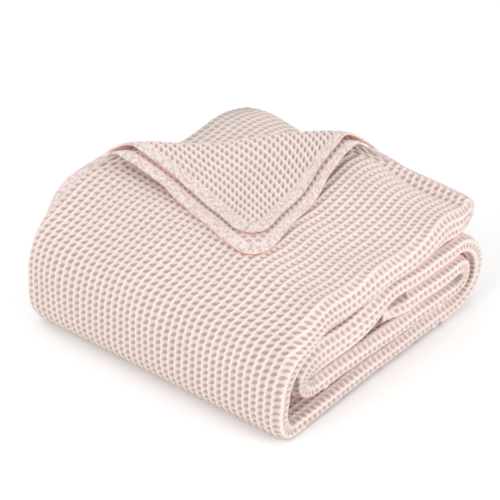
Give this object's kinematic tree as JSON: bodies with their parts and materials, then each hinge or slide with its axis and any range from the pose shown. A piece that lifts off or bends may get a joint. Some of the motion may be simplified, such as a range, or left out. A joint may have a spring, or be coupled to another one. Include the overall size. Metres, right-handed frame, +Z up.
{
  "type": "folded throw blanket",
  "caption": "Cotton waffle-weave throw blanket, folded into a soft stack with one corner peeled back to show its hems.",
  "frame": {"origin": "middle of the footprint, on the surface the blanket rests on", "axes": "+Z up; +X along the front fold, towards the rounded side folds; +Y to the back"},
  "size_m": [0.3181, 0.3125, 0.1643],
  "materials": {
    "blanket": "matte brushed cotton, waffle weave"
  },
  "bodies": {
    "root": {"blanket": "blanket"}
  },
  "joints": []
}
